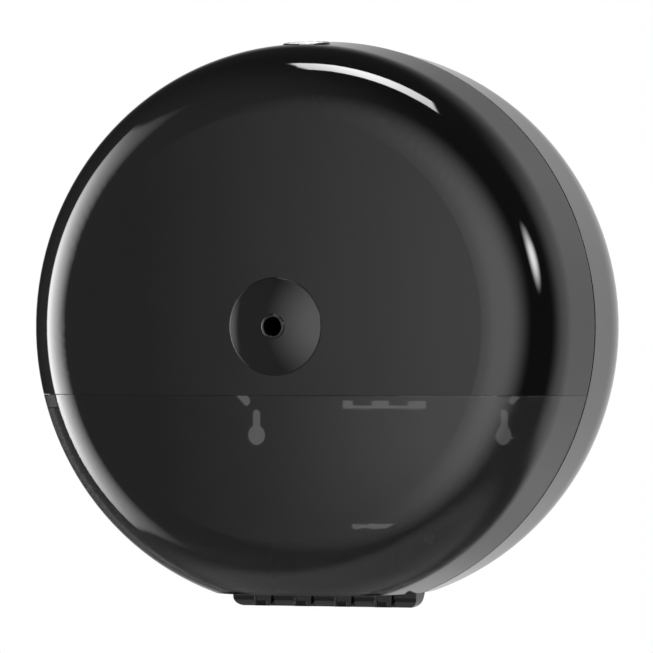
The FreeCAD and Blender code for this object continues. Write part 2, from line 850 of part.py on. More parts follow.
def rear_ribs():
    """Grid of ribs and a hub between the plate and the wall."""
    bounds = (-d.plate_gap - d.plate_wall / 2, ZERO)
    half = d.rib_wall / 2
    uprights = [box("rib_upright", around(d.rib_offset * side, half), bounds, (-far, far)) for side in SIDES]
    levels = [box("rib_level", (-far, far), bounds, around(d.rib_pitch * step, half)) for step in (-1, 0, 1)]
    disc = rod("rib_disc", "Y", rim_inner + d.rim_width / 2, bounds)
    hub = rod("rear_hub", "Y", d.hub_radius, bounds)
    return common("ribs", fuse("rib_grid", *uprights, *levels), disc), hub


def seam_ring(name, outer, outer_drop, bounds):
    """Ring along the seam, flat at the bottom, whose inside is the lip's inside."""
    low, high = bounds
    blank = rod(f"{name}_outer", "Y", outer, bounds)
    form = cut(f"{name}_form", blank, below(f"{name}_flat", -outer_drop))
    core = rod(f"{name}_inner", "Y", lip_radius - d.lip_wall, (low - d.overrun, high + d.overrun))
    hollow = cut(f"{name}_hollow", core, below(f"{name}_inner_flat", d.lip_wall - lip_drop))
    return cut(name, form, hollow)


def base_knuckle(index):
    """Barrel and web; the outermost knuckles have rounded lower corners at their free ends."""
    bounds = base_span(index)
    front = hinge_y - d.hinge_radius
    forms = knuckle(
        "base", bounds, (front, hinge_z), line((front, web_top)), line((hinge_y + d.web_length, web_top)),
        line((hinge_y + hinge_slant, hinge_z - hinge_slant)),
    )
    if index == 0:
        return [common("left_end", fuse("left_knuckle", *forms), rounded_end(bounds, 1))]
    if index == BASE_KNUCKLES - 1:
        return [common("right_end", fuse("right_knuckle", *forms), rounded_end(bounds, -1))]
    return forms


def rounded_end(bounds, side):
    """Room of a knuckle whose lower outer corner is rounded; side tells which way its free end faces."""
    low, high = bounds
    depth = (-far, far)
    middle_z = hinge_floor + d.knuckle_round
    middle_x = low + d.knuckle_round if side > 0 else high - d.knuckle_round
    inner = (middle_x, high) if side > 0 else (low, middle_x)
    return fuse(
        "rounded_room", box("upper_room", bounds, depth, (middle_z, middle_z + far)),
        box("inner_room", inner, depth, (hinge_floor, middle_z)),
        rod("corner_room", "Y", d.knuckle_round, depth, x=middle_x, z=middle_z),
    )


def make_back_housing():
    outer = housing_form("housing_outer", ZERO, housing_front, ZERO)
    outside = cut("housing_outside", outer, below("housing_flat", -flat_drop))
    inner = housing_form("housing_inner", d.housing_wall, housing_front - d.overrun, plate_front)
    hollow = cut("housing_hollow", inner, below("housing_inner_flat", floor_z))
    rear = rod("housing_rear", "Y", rim_inner, (-d.plate_gap, d.overrun))
    bowl = cut("bowl", outside, hollow, rear)

    bead = seam_ring("bead", d.drum_radius - d.bead_inset, flat_drop - d.bead_inset, bead_bounds)
    rooms = [knuckle_room("cover_room", cover_span(index)) for index in range(COVER_KNUCKLES)]
    forms = [cut("bowl_relieved", fuse("bowl_beaded", bowl, bead), *rooms)]
    lip_bounds = (seam_y - d.lip_length, housing_front + d.overrun)
    forms.append(seam_ring("lip", lip_radius, lip_drop, lip_bounds))
    forms.extend(rear_ribs())
    for index in range(BASE_KNUCKLES):
        forms.extend(base_knuckle(index))
    for side in SIDES:
        pad_x = mirrored(side, d.keeper_half, keeper_outer)
        forms.append(box("keeper_pad", pad_x, keeper_bounds, (pad_floor, d.drum_radius - d.pad_bite)))
        boss_bounds = (-d.plate_gap - d.plate_wall / 2, ZERO)
        forms.append(rod("cradle_boss", "Y", d.cradle_boss, boss_bounds, **cradle_screw_spot(side)))

    holes = [*keyholes(), *adjusting_slots(), vent_slot(), drain_slot()]
    holes.append(hinge_rod("housing_bore", d.pin_radius + d.pin_gap, ZERO))
    for side in SIDES:
        holes.append(screw_hole("cradle_pilot", "Y", foot_front, **cradle_screw_spot(side)))
        holes.append(screw_hole("keeper_pilot", "Z", keeper_ear_floor, **keeper_screw_spot(side)))
    keep("back_housing", cut("housing", fuse("housing_blank", *forms), *holes))


def make_hinge_pin():
    keep("hinge_pin", hinge_rod("pin", d.pin_radius, d.pin_inset))


def make_roll_cradle():
    bounds = (seam_y + d.shelf_setback, plate_front)
    shelf_room = box("shelf_room", around(ZERO, d.shelf_half), bounds, (-far, -d.shelf_half))
    shelf = common("shelf", tube("shelf_ring", "Y", shelf_outer, d.shelf_wall, bounds), shelf_room)
    foot_bounds = (foot_front, plate_front)
    foot_room = box("foot_room", around(ZERO, d.foot_half), foot_bounds, (-far, -d.shelf_half))
    foot_radius = shelf_outer + d.foot_width
    foot_ring = tube("foot_ring", "Y", foot_radius, foot_radius - shelf_middle, foot_bounds)
    forms = [shelf, common("foot", foot_ring, foot_room)]
    leg_bounds = (bead_bounds[1] + d.leg_gap, -d.leg_rear)
    leg_clear = rod("leg_clear", "Y", shelf_middle, (leg_bounds[0] - d.overrun, leg_bounds[1] + d.overrun))
    for side in SIDES:
        leg_x = around(d.leg_offset * side, d.leg_wall / 2)
        forms.append(cut("leg", box("leg_blank", leg_x, leg_bounds, (floor_z, -d.shelf_half)), leg_clear))
    for step in GRIP_STEPS:
        forms.append(turned_box(
            "grip", (ZERO, ZERO), d.grip_step.value * step, around(ZERO, d.grip_wall / 2), bounds,
            (-shelf_middle, d.grip_height - shelf_inner),
        ))
    holes = [screw_hole("foot_hole", "Y", foot_front, **cradle_screw_spot(side)) for side in SIDES]
    keep("roll_cradle", cut("cradle", fuse("cradle_blank", *forms), *holes))
    screws = [screw("cradle_screw", "Y", foot_front, **cradle_screw_spot(side)) for side in SIDES]
    keep("cradle_screws", group("cradle_screw_group", *screws))


def make_latch_keeper():
    bar_half = d.keeper_half + d.keeper_wall
    bar_z = (pivot_z - d.keeper_size, pivot_z)
    forms = [box("keeper_bar", around(ZERO, bar_half), (keeper_y, keeper_y + d.keeper_size), bar_z)]
    for side in SIDES:
        cheek_x = mirrored(side, d.keeper_half, bar_half)
        ear_x = mirrored(side, d.keeper_half, keeper_outer)
        forms.append(box("keeper_cheek", cheek_x, keeper_bounds, (bar_z[0], pad_floor)))
        forms.append(box("keeper_ear", ear_x, keeper_bounds, (keeper_ear_floor, pad_floor)))
    spots = [keeper_screw_spot(side) for side in SIDES]
    holes = [screw_hole("keeper_hole", "Z", keeper_ear_floor, **spot) for spot in spots]
    keep("latch_keeper", cut("keeper", fuse("keeper_blank", *forms), *holes))
    screws = [screw("keeper_screw", "Z", keeper_ear_floor, **spot) for spot in spots]
    keep("keeper_screws", group("keeper_screw_group", *screws))


# Lock and latch

def make_lock_button():
    body = rod("button_body", "Z", d.button_radius, (flange_floor, lock_high), y=lock_y)
    flange = rod("button_flange", "Z", flange_radius, (flange_floor, flange_top), y=lock_y)
    bore_bounds = (flange_floor - d.overrun, lock_high + d.overrun)
    bore = rod("barrel_bore", "Z", d.barrel_radius + d.barrel_gap, bore_bounds, y=lock_y)
    seat_bounds = (barrel_neck - d.barrel_gap, lock_high + d.overrun)
    seat = rod("barrel_seat", "Z", d.barrel_head + d.barrel_gap, seat_bounds, y=lock_y)
    slope = lock_slope_room("button_slope")
    keep("lock_button", cut("button", fuse("button_blank", body, flange), bore, seat, slope))
    spring_bounds = (ear_top, flange_floor)
    springs = [
        tube(
            "button_spring", "Z", d.spring_radius, d.spring_wall, spring_bounds, x=spring_x * side, y=lock_y,
        )
        for side in SIDES
    ]
    keep("button_springs", group("button_spring_group", *springs))


def make_key_barrel():
    head = rod("barrel_head_form", "Z", d.barrel_head, (barrel_neck, barrel_top), y=lock_y)
    body = rod("barrel_body", "Z", d.barrel_radius, (cam_top, barrel_neck + d.barrel_gap), y=lock_y)
    tang_bounds = (cam_floor + d.barrel_gap, cam_top + d.overrun)
    tang = box("tang", around(ZERO, d.tang_half), around(lock_y, d.tang_half), tang_bounds)
    slot_bounds = (barrel_top - d.key_slot_depth, barrel_top + d.overrun)
    slot = box(
        "key_slot", around(ZERO, d.key_slot_width / 2), around(lock_y, d.key_slot_length / 2), slot_bounds,
    )
    pilot = screw_hole("barrel_pilot", "Z", cam_floor, y=lock_y)
    keep("key_barrel", cut("barrel", fuse("barrel_blank", head, body, tang), slot, pilot))


def make_lock_cam():
    disc = rod("cam_disc", "Z", d.cam_radius, (cam_floor, cam_top), y=lock_y)
    finger_bounds = (arm_top + d.finger_gap, cam_top)
    finger = rod("cam_finger", "Z", d.finger_radius, finger_bounds, y=finger_y)
    half = d.tang_half + d.barrel_gap
    hole_bounds = (cam_floor - d.overrun, cam_top + d.overrun)
    hole = box("cam_hole", around(ZERO, half), around(lock_y, half), hole_bounds)
    keep("lock_cam", cut("cam", fuse("cam_blank", disc, finger), hole))
    keep("cam_screw", screw("cam_fastener", "Z", cam_floor, y=lock_y))


def make_latch_lever():
    arm = box("lever_arm", around(ZERO, arm_half), (arm_tip, pivot_y), (arm_floor, arm_top))
    hub_half = cheek_inner - d.bracket_gap
    hub = rod("lever_hub_form", "X", d.lever_hub, around(ZERO, hub_half), y=pivot_y, z=pivot_z)
    hook_floor = pivot_z + d.hook_gap
    hook_top = hook_floor + d.hook_height
    barb_y = keeper_y + d.keeper_size + d.barb_gap
    barb_floor = pivot_z - d.barb_depth
    hook_end = barb_y + d.barb_length
    hook = padded(
        "hook", hook_half, (pivot_y, hook_floor), line((barb_y, hook_floor)), line((barb_y, barb_floor)),
        line((barb_y + d.barb_nose, barb_floor)), line((hook_end, hook_floor)), line((hook_end, hook_top)),
        line((pivot_y, hook_top)),
    )
    hole_bounds = around(ZERO, hub_half + d.overrun)
    hole = rod("lever_hole", "X", d.pin_radius + d.pin_gap, hole_bounds, y=pivot_y, z=pivot_z)
    keep("latch_lever", cut("lever", fuse("lever_blank", arm, hub, hook), hole))
    pin_bounds = around(ZERO, cheek_outer + d.lever_pin_over)
    keep("lever_pin", rod("lever_pin_form", "X", d.pin_radius, pin_bounds, y=pivot_y, z=pivot_z))
    keep("latch_spring", tube(
        "latch_coil", "Z", d.latch_spring_radius, d.spring_wall, (bracket_floor, arm_floor), y=finger_y,
    ))


def make_lock_housing():
    front = arm_tip - d.bracket_front
    bounds = (front - d.bracket_wall, pivot_y + d.bracket_rear)
    base = bracket_floor - d.bracket_wall
    forms = [
        box("bracket_base", around(ZERO, cheek_outer), bounds, (base, bracket_floor)),
        box("bracket_nose", around(ZERO, cheek_outer), (bounds[0], front), (base, cheek_top)),
    ]
    for side in SIDES:
        forms.append(box("cheek", mirrored(side, cheek_inner, cheek_outer), bounds, (base, cheek_top)))
        ear_x = mirrored(side, cheek_inner, boss_outer)
        forms.append(box("ear", ear_x, around(lock_y, d.ear_half), (ear_floor, ear_top)))
    spots = [{"x": boss_x * side, "y": lock_y} for side in SIDES]
    holes = [screw_hole("ear_hole", "Z", ear_floor, **spot) for spot in spots]
    pin_bounds = around(ZERO, cheek_outer + d.overrun)
    holes.append(rod("pin_hole", "X", d.pin_radius + d.screw_gap, pin_bounds, y=pivot_y, z=pivot_z))
    keep("lock_housing", cut("bracket", fuse("bracket_blank", *forms), *holes))
    screws = [screw("lock_screw", "Z", ear_floor, **spot) for spot in spots]
    keep("lock_screws", group("lock_screw_group", *screws))


make_back_housing()
make_hinge_pin()
make_roll_cradle()
make_latch_keeper()
make_cover_shell()
make_level_window()
make_nozzle()
make_lock_button()
make_key_barrel()
make_lock_cam()
make_latch_lever()
make_lock_housing()
doc.recompute()

failed = [item.Label for item in doc.Objects if {"Invalid", "Error"} & set(item.State)]
failed += [node for node, item in pieces.items() if item.Shape.isNull() or not item.Shape.isValid()]
if failed:
    raise RuntimeError("these did not build: " + ", ".join(failed))

os.makedirs("parts", exist_ok=True)
for node, item in pieces.items():
    item.Shape.exportStep(f"parts/{node}.step")
    print(f"{node}: {len(item.Shape.Solids)} solid(s), {item.Shape.Volume / 1000:.2f} cm3")
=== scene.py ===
import json
import math

import bmesh
import bpy
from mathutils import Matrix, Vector


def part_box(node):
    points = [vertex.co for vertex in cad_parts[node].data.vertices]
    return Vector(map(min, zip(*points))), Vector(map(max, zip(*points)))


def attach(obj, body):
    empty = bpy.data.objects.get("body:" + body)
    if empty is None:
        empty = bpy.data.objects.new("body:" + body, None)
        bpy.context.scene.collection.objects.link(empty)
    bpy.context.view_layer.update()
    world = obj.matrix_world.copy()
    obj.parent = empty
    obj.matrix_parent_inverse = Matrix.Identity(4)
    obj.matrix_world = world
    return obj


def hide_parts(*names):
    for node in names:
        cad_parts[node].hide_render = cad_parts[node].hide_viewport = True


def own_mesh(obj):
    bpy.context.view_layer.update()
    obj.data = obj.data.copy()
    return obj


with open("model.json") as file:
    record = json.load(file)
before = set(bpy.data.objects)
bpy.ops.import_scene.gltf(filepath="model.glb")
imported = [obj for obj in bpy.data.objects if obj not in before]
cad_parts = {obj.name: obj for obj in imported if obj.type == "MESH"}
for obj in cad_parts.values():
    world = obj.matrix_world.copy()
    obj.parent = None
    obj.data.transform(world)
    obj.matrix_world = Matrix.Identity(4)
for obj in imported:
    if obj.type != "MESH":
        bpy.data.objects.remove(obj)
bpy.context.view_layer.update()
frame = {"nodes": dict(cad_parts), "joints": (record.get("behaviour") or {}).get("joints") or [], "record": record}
nodes_of = frame["nodes"]

# Places in metres: X to the right, Y into the wall, Z up
SEAM_GAP = 0.0016
RECESS_STEP = 0.0005
KNUCKLE_RISE = 0.002
JOINTS = {joint["name"]: joint for joint in frame["joints"]}
COVER_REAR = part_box("cover_shell")[1].y
SEAM_CENTRE = Vector((0, COVER_REAR + SEAM_GAP / 2, 0))
LOCK_AXIS = Vector(JOINTS["key_turn"]["pos_m"])
RECESS_Y = COVER_REAR - RECESS_STEP
KNUCKLE_TOP = JOINTS["cover_hinge"]["pos_m"][2] + KNUCKLE_RISE

# Camera: level with the drum's axis, to the right of its front
VIEW_ANGLE = math.radians(20.1)
VIEW_DISTANCE = 3.1
VIEW_SIDE_STEP = 0.00129
LENS = 361.8
SENSOR = 36.0

DEGREES = 180 / math.pi

# Studio: a dark dome around the object that carries the lights, seen only in reflections
# Angles are in degrees, and a pair is where a soft edge starts and where it ends
DOME_RADIUS = 9.0
DOME_SEGMENTS = 96
DOME_RINGS = 48
WALL_LEVEL = 0.04

# Tall soft box at the left, by azimuth and then by elevation
LEFT_LEVEL = 13.4
LEFT_OUTER_EDGE = (-89, -86)
LEFT_FADE = (-80, -45.5)
LEFT_GLOW = ((-46, -8), (2, 44))
LEFT_ENDS = ((-38.5, -35.5), (34.5, 37.5))

# Round lights: azimuth and elevation of the middle, and the soft edge around it
KEY_LEVEL = 2.15
KEY_MIDDLE = (17, 2)
KEY_EDGE = (8, 53)
HAZE_LEVEL = 0.28
HAZE_MIDDLE = (-40, -8)
HAZE_EDGE = (20, 95)
SPOT_LEVEL = 16.5
SPOT_MIDDLE = (87.5, 20)
SPOT_EDGE = (1, 11.3)

# Pale backdrop behind the object, whose top edge drops towards one side
BACKDROP_LEVEL = 0.68
BACKDROP_SIDES = ((-42, -20), (46, 72))
BACKDROP_FOOT = (-34, -22)
BACKDROP_TOP = (14, 58)
BACKDROP_DROP = 30.0
BACKDROP_SLOPE = (-45, 15)

# Pale ground below, a little darker towards the wall
GROUND_EDGE = (-41, -58)
GROUND_LEVELS = (0.55, 0.39)
GROUND_DEPTH = (-0.2, 0.5)

# Strip overhead, measured sideways per unit of height
TOP_TURN = math.radians(17)
TOP_ALONG = ((-0.335, -0.30), (0.35, 0.385))
TOP_ACROSS = ((-0.14, -0.115), (0.115, 0.14))
TOP_LEVELS = (17.0, 11.0)
TOP_FADE = 0.36
LEAST_HEIGHT = 0.01

# Floor and plain light for matt surfaces
FLOOR_DROP = 0.55
FLOOR_RADIUS = 0.9
FLOOR_SIDES = 96
FLOOR_COLOUR = (0.93, 0.93, 0.93, 1)
AMBIENT = 0.55
WHITE = (1, 1, 1, 1)

# Mouldings: noise scales per metre, change of tone, and radii of broken edges
GLOSS_SCALE = 42.0
GLOSS_DETAIL = 4.0
WAVE_SCALE = 16.0
WAVE_DETAIL = 1.0
CLOUD_SCALE = 35.0
TONE_CHANGE = 0.15
GLOSS_EDGE = 0.0004
GRAIN_EDGE = 0.0003

# Smoke window: cloudy towards its right, opaque in the hinge knuckles, and with painted shade in the recesses
# between them, where its reflection is lowered
SMOKE_TONES = (0.072, 0.082)
KNUCKLE_TONES = (0.004, 0.006)
KNUCKLE_BLEND = 0.0004
PAINTED_SHADE_BLEND = 0.0001
CLOUDY_SHARE = 0.12
CLOUDY_SIDE = (0.0, 0.075)
CLOUDY_FOOT = (-0.105, -0.055)
SPECULAR = 0.5
# Specular level where painted shade lowers the reflection in the recesses between the knuckles
PAINTED_SHADE_SPECULAR = 0.2

# Metals: noise scales per metre, depth of the tool's lines, and radii of broken edges
PLATING_SCALE = 180.0
PLATING_DETAIL = 4.0
DRAWN_LINES = (60.0, 2400.0, 2400.0)
DRAWN_DEPTH = 0.000015
DRAWN_EDGE = 0.0002
TURNED_SCALE = 300.0
TURNED_RINGS = 5200.0
TURNED_DEPTH = 0.000003
TURNED_EDGE = 0.0001
TURNED_METAL = 0.45
FINE_DETAIL = 2.0

# Coil springs: wire, turns, closed turns at each end and their pitch, and the mesh's steps per turn and sides
SPRING_WIRE = 0.0006
SPRING_TURNS = 7
CLOSED_TURNS = 1
CLOSED_PITCH = SPRING_WIRE * 1.05
SPRING_STEPS = 28
WIRE_SIDES = 10


# Node helpers

def node_tree(owner):
    owner.use_nodes = True
    owner.node_tree.nodes.clear()
    return owner.node_tree


def add(tree, kind, **values):
    """New node; each value sets an input by its name, or links it when the value is a socket."""
    node = tree.nodes.new(kind)
    for name, value in values.items():
        feed(tree, node.inputs[name.replace("_", " ")], value)
    return node


def feed(tree, socket, value):
    if isinstance(value, bpy.types.NodeSocket):
        tree.links.new(value, socket)
    else:
        socket.default_value = value


def math_node(tree, operation, *values):
    node = tree.nodes.new("ShaderNodeMath")
    node.operation = operation
    for socket, value in zip(node.inputs, values):
        feed(tree, socket, value)
    return node.outputs[0]


def vector_node(tree, operation, *values):
    node = tree.nodes.new("ShaderNodeVectorMath")
    node.operation = operation
    for socket, value in zip(node.inputs, values):
        feed(tree, socket, value)
    return node


def spread(tree, value, low, high, start=0.0, stop=1.0, kind="LINEAR"):
    """Even map of a value onto a range: low at start and before it, high at stop and after it."""
    node = tree.nodes.new("ShaderNodeMapRange")
    node.interpolation_type = kind
    for name, number in (("From Min", start), ("From Max", stop), ("To Min", low), ("To Max", high)):
        node.inputs[name].default_value = number
    tree.links.new(value, node.inputs["Value"])
    return node.outputs["Result"]


def ramp_between(tree, value, start, stop, low=0.0, high=1.0):
    """Smooth step of a value from low at start to high at stop."""
    return spread(tree, value, low, high, start, stop, "SMOOTHSTEP")


def product(tree, *values):
    result = values[0]
    for value in values[1:]:
        result = math_node(tree, "MULTIPLY", result, value)
    return result


def total(tree, *values):
    result = values[0]
    for value in values[1:]:
        result = math_node(tree, "ADD", result, value)
    return result


def window(tree, value, rise, fall):
    """One inside a range and zero outside, with soft edges given as (start, stop) pairs."""
    return product(tree, ramp_between(tree, value, *rise), ramp_between(tree, value, *fall, 1.0, 0.0))


def to_output(tree, shader):
    output = add(tree, "ShaderNodeOutputMaterial")
    tree.links.new(shader.outputs[0], output.inputs["Surface"])


# Camera and studio

def make_camera():
    data = bpy.data.cameras.new("camera")
    data.lens = LENS
    data.sensor_width = SENSOR
    camera = bpy.data.objects.new("camera", data)
    away = Vector((math.sin(VIEW_ANGLE), -math.cos(VIEW_ANGLE), 0))
    right = Vector((math.cos(VIEW_ANGLE), math.sin(VIEW_ANGLE), 0))
    camera.location = SEAM_CENTRE + away * VIEW_DISTANCE + right * VIEW_SIDE_STEP
    camera.rotation_euler = (math.pi / 2, 0, VIEW_ANGLE)
    bpy.context.scene.collection.objects.link(camera)
    bpy.context.scene.camera = camera


def make_world():
    """White for what is seen directly, in metal or through glass, and a plain level of light otherwise."""
    world = bpy.data.worlds.new("studio_world")
    bpy.context.scene.world = world
    tree = node_tree(world)
    path = add(tree, "ShaderNodeLightPath")
    seen = math_node(tree, "MAXIMUM", path.outputs["Is Camera Ray"], path.outputs["Is Glossy Ray"])
    seen = math_node(tree, "MAXIMUM", seen, path.outputs["Is Transmission Ray"])
    level = total(tree, product(tree, seen, 1.0 - AMBIENT), AMBIENT)
    background = add(tree, "ShaderNodeBackground", Color=WHITE, Strength=level)
    output = add(tree, "ShaderNodeOutputWorld")
    tree.links.new(background.outputs[0], output.inputs["Surface"])


def direction(azimuth, elevation):
    """Unit vector away from the drum; azimuth counts from its front, positive to its right, in degrees."""
    turn, lift = math.radians(azimuth), math.radians(elevation)
    return Vector((math.sin(turn) * math.cos(lift), -math.cos(turn) * math.cos(lift), math.sin(lift)))


def round_light(tree, unit, middle, edge, level):
    """Light that fades with the angle between a unit vector and the direction of its middle."""
    toward = vector_node(tree, "DOT_PRODUCT", unit, direction(*middle)).outputs["Value"]
    angle = product(tree, math_node(tree, "ARCCOSINE", toward), DEGREES)
    return ramp_between(tree, angle, *edge, level, 0.0)


def top_strip(tree, x, y, z):
    """Lit strip overhead, turned a little about the vertical; brightest in its middle."""
    above = math_node(tree, "MAXIMUM", z, LEAST_HEIGHT)
    tilt_x = math_node(tree, "DIVIDE", x, above)
    tilt_y = math_node(tree, "DIVIDE", y, above)
    cosine, sine = math.cos(TOP_TURN), math.sin(TOP_TURN)
    along = total(tree, product(tree, tilt_x, cosine), product(tree, tilt_y, sine))
    across = total(tree, product(tree, tilt_x, -sine), product(tree, tilt_y, cosine))
    from_middle = math_node(tree, "ABSOLUTE", along)
    return product(
        tree, window(tree, along, *TOP_ALONG), window(tree, across, *TOP_ACROSS),
        ramp_between(tree, from_middle, 0.0, TOP_FADE, *TOP_LEVELS),
    )


def dome_material():
    """Light that reaches the object from each direction, by azimuth from front or back and by elevation."""
    material = bpy.data.materials.new("studio_dome")
    tree = node_tree(material)
    place = add(tree, "ShaderNodeTexCoord")
    unit = vector_node(tree, "NORMALIZE", place.outputs["Object"]).outputs[0]
    x, y, z = add(tree, "ShaderNodeSeparateXYZ", Vector=unit).outputs
    front = product(tree, math_node(tree, "ARCTAN2", x, product(tree, y, -1.0)), DEGREES)
    back = product(tree, math_node(tree, "ARCTAN2", x, y), DEGREES)
    height = product(tree, math_node(tree, "ARCSINE", z), DEGREES)

    left_box = product(
        tree, ramp_between(tree, front, *LEFT_OUTER_EDGE), spread(tree, front, LEFT_LEVEL, 0.0, *LEFT_FADE),
        window(tree, height, *LEFT_GLOW), window(tree, height, *LEFT_ENDS),
    )
    key = round_light(tree, unit, KEY_MIDDLE, KEY_EDGE, KEY_LEVEL)
    haze = round_light(tree, unit, HAZE_MIDDLE, HAZE_EDGE, HAZE_LEVEL)
    spot = round_light(tree, unit, SPOT_MIDDLE, SPOT_EDGE, SPOT_LEVEL)
    lowered = total(tree, height, spread(tree, back, BACKDROP_DROP, 0.0, *BACKDROP_SLOPE))
    backdrop = product(
        tree, window(tree, back, *BACKDROP_SIDES), ramp_between(tree, height, *BACKDROP_FOOT),
        ramp_between(tree, lowered, *BACKDROP_TOP, BACKDROP_LEVEL, 0.0),
    )
    ground = product(
        tree, ramp_between(tree, height, *GROUND_EDGE), spread(tree, y, *GROUND_LEVELS, *GROUND_DEPTH),
    )
    level = total(
        tree, left_box, math_node(tree, "MAXIMUM", key, haze), backdrop, ground, spot,
        top_strip(tree, x, y, z), WALL_LEVEL,
    )
    emission = add(tree, "ShaderNodeEmission", Color=WHITE, Strength=level)
    to_output(tree, emission)
    material.cycles.emission_sampling = "NONE"
    return material


def make_dome():
    bpy.ops.mesh.primitive_uv_sphere_add(
        segments=DOME_SEGMENTS, ring_count=DOME_RINGS, radius=DOME_RADIUS, location=SEAM_CENTRE,
    )
    dome = bpy.context.object
    dome.name = "studio_dome"
    dome.data.materials.append(dome_material())
    dome.visible_camera = False
    dome.visible_diffuse = False
    dome.visible_transmission = False
    dome.visible_volume_scatter = False
    dome.visible_shadow = False


def make_floor():
    bpy.ops.mesh.primitive_circle_add(
        vertices=FLOOR_SIDES, radius=FLOOR_RADIUS, fill_type="NGON",
        location=SEAM_CENTRE - Vector((0, 0, FLOOR_DROP)),
    )
    floor = bpy.context.object
    floor.name = "studio_floor"
    floor.visible_glossy = False
    material = bpy.data.materials.new("studio_floor")
    tree = node_tree(material)
    to_output(tree, add(tree, "ShaderNodeBsdfDiffuse", Color=FLOOR_COLOUR))
    floor.data.materials.append(material)


def make_lamp(name, azimuth, elevation, distance, size, power):
    """Soft area lamp that lights matt surfaces; the dome shows the lights in reflections instead."""
    data = bpy.data.lights.new(name, "AREA")
    data.shape = "SQUARE"
    data.size = size
    data.energy = power
    lamp = bpy.data.objects.new(name, data)
    away = direction(azimuth, elevation)
    lamp.location = SEAM_CENTRE + away * distance
    lamp.rotation_euler = away.to_track_quat("Z", "Y").to_euler()
    lamp.visible_glossy = False
    bpy.context.scene.collection.objects.link(lamp)


# Materials

def noise(tree, place, scale, detail=3.0):
    return add(tree, "ShaderNodeTexNoise", Vector=place, Scale=scale, Detail=detail).outputs[0]


def mixed(tree, share, low, high):
    """Colour between two others, each with four numbers or from a socket."""
    mix = tree.nodes.new("ShaderNodeMix")
    mix.data_type = "RGBA"
    for name, value in (("Factor", share), ("A", low), ("B", high)):
        feed(tree, mix.inputs[name], value)
    return mix.outputs["Result"]


def mottled(tree, share, low, high):
    """Colour between two close colours."""
    return mixed(tree, share, (*low, 1), (*high, 1))


def mottled_grey(tree, share, low, high):
    return mottled(tree, share, (low,) * 3, (high,) * 3)


def relief(tree, height, distance, edge):
    """Shallow relief on a surface whose sharp edges are slightly broken."""
    rounded = add(tree, "ShaderNodeBevel", Radius=edge)
    bump = add(tree, "ShaderNodeBump", Height=height, Distance=distance, Normal=rounded.outputs[0])
    return bump.outputs[0]


def principled(name):
    """New material with its tree, object coordinates and a shader that is joined to the output."""
    material = bpy.data.materials.new(name)
    tree = node_tree(material)
    place = add(tree, "ShaderNodeTexCoord").outputs["Object"]
    shader = add(tree, "ShaderNodeBsdfPrincipled")
    to_output(tree, shader)
    return material, tree, place, shader


def gloss_finish(tree, place, shader, gloss, wave):
    """Faint haze in the gloss and a very shallow waviness; gives the haze, for the colour to follow."""
    haze = noise(tree, place, GLOSS_SCALE, GLOSS_DETAIL)
    waves = noise(tree, place, WAVE_SCALE, WAVE_DETAIL)
    feed(tree, shader.inputs["Roughness"], spread(tree, haze, *gloss))
    feed(tree, shader.inputs["Normal"], relief(tree, waves, wave, GLOSS_EDGE))
    return haze


def polished(name, tone, gloss, wave):
    """Polished opaque moulding."""
    material, tree, place, shader = principled(name)
    haze = gloss_finish(tree, place, shader, gloss, wave)
    colour = mottled_grey(tree, haze, tone * (1 - TONE_CHANGE), tone * (1 + TONE_CHANGE))
    feed(tree, shader.inputs["Base Color"], colour)
    return material


def grained(name, low, high, gloss, grain, depth):
    """Moulding with a fine eroded grain."""
    material, tree, place, shader = principled(name)
    fine = noise(tree, place, grain, FINE_DETAIL)
    feed(tree, shader.inputs["Base Color"], mottled(tree, noise(tree, place, CLOUD_SCALE), low, high))
    feed(tree, shader.inputs["Roughness"], spread(tree, fine, *gloss))
    feed(tree, shader.inputs["Normal"], relief(tree, fine, depth, GRAIN_EDGE))
    return material


def smoked(name, gloss, wave):
    """Clear moulding tinted nearly black; its thick hinge knuckles let no light through, and painted shade lowers
    its reflection in the recesses between them.
    """
    material, tree, place, shader = principled(name)
    haze = gloss_finish(tree, place, shader, gloss, wave)
    side, depth, level = add(tree, "ShaderNodeSeparateXYZ", Vector=place).outputs
    thin = ramp_between(tree, level, KNUCKLE_TOP - KNUCKLE_BLEND, KNUCKLE_TOP)
    thick = math_node(tree, "SUBTRACT", 1.0, thin)
    cloudy = product(
        tree, spread(tree, side, 0.0, CLOUDY_SHARE, *CLOUDY_SIDE), ramp_between(tree, level, *CLOUDY_FOOT),
    )
    clear = math_node(tree, "SUBTRACT", 1.0, cloudy)
    # Painted shade: mask of the recesses between the knuckles, where the reflection is lowered to stand in for
    # shade
    painted_recess_shade = product(tree, thick, ramp_between(tree, depth, RECESS_Y - PAINTED_SHADE_BLEND, RECESS_Y))
    knuckle = mottled_grey(tree, haze, *KNUCKLE_TONES)
    tint = mottled_grey(tree, haze, *SMOKE_TONES)
    feed(tree, shader.inputs["Base Color"], mixed(tree, thin, knuckle, tint))
    feed(tree, shader.inputs["Transmission Weight"], product(tree, thin, clear))
    # Painted shade: lower reflection inside the recess mask
    feed(tree, shader.inputs["Specular IOR Level"], spread(tree, painted_recess_shade, SPECULAR, PAINTED_SHADE_SPECULAR))
    return material


def plated(name, low, high, gloss):
    """Zinc-plated steel: cloudy tone and fine drawn lines."""
    material, tree, place, shader = principled(name)
    shader.inputs["Metallic"].default_value = 1.0
    cloud = noise(tree, place, PLATING_SCALE, PLATING_DETAIL)
    stretched = vector_node(tree, "MULTIPLY", place, DRAWN_LINES).outputs[0]
    lines = noise(tree, stretched, 1.0, FINE_DETAIL)
    feed(tree, shader.inputs["Base Color"], mottled(tree, cloud, low, high))
    feed(tree, shader.inputs["Roughness"], spread(tree, cloud, *gloss))
    feed(tree, shader.inputs["Normal"], relief(tree, lines, DRAWN_DEPTH, DRAWN_EDGE))
    return material


